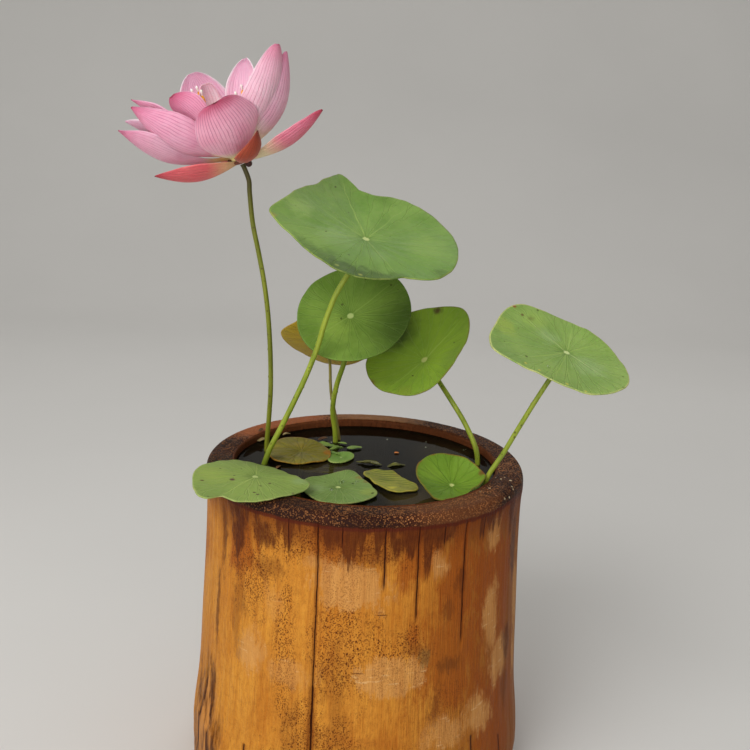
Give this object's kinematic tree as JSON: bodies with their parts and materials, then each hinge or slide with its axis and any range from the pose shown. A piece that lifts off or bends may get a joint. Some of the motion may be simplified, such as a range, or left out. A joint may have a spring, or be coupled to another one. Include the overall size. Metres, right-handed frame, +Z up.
{
  "type": "bowl lotus",
  "caption": "Bowl lotus growing in a cut bamboo culm: round leaves on slim stalks, a pink bloom above them and small leaves that float on dark water over mud.",
  "frame": {"origin": "middle of the culm's flat foot, on the surface that the pot stands on", "axes": "+Z up along the culm and the plant, +X to the right and -Y to the front as in the picture"},
  "size_m": [0.2444, 0.1756, 0.3664],
  "materials": {
    "culm": "dry bamboo with a satin skin, drying cracks and dark water stains",
    "mud": "dark wet pond mud",
    "water": "still dark water",
    "rhizome": "smooth pale root skin",
    "stalk": "satin yellow-green stalk with fine specks",
    "leaf": "waxy green leaf with a pale hub and fine veins",
    "yellow_leaf": "ageing mustard leaf",
    "old_leaf": "wet olive-brown leaf",
    "petal": "soft pink petal, darker at its tip and veins, cream at its foot",
    "sepal": "coral-red sepal",
    "pod": "yellow-green seed pod",
    "stamen": "orange anthers on cream filaments"
  },
  "bodies": {
    "root": {"bamboo_culm": "culm", "pond_mud": "mud", "pond_water": "water", "rhizome": "rhizome", "flower_stalk": "stalk", "tall_leaf_stalk": "stalk", "facing_leaf_stalk": "stalk", "shaded_leaf_stalk": "stalk", "yellow_leaf_stalk": "stalk", "right_leaf_stalk": "stalk", "rim_leaf_stalk": "stalk", "front_floating_leaf_stalk": "stalk", "right_floating_leaf_stalk": "stalk", "old_leaf_stalk": "stalk", "tall_leaf": "leaf", "facing_leaf": "leaf", "shaded_leaf": "leaf", "yellow_leaf": "yellow_leaf", "right_leaf": "leaf", "rim_leaf": "leaf", "front_floating_leaf": "leaf", "wilted_leaf": "leaf", "right_floating_leaf": "leaf", "old_leaf": "old_leaf", "seedling_leaf": "leaf", "petals": "petal", "sepals": "sepal", "seed_pod": "pod", "stamens": "stamen"}
  },
  "joints": []
}
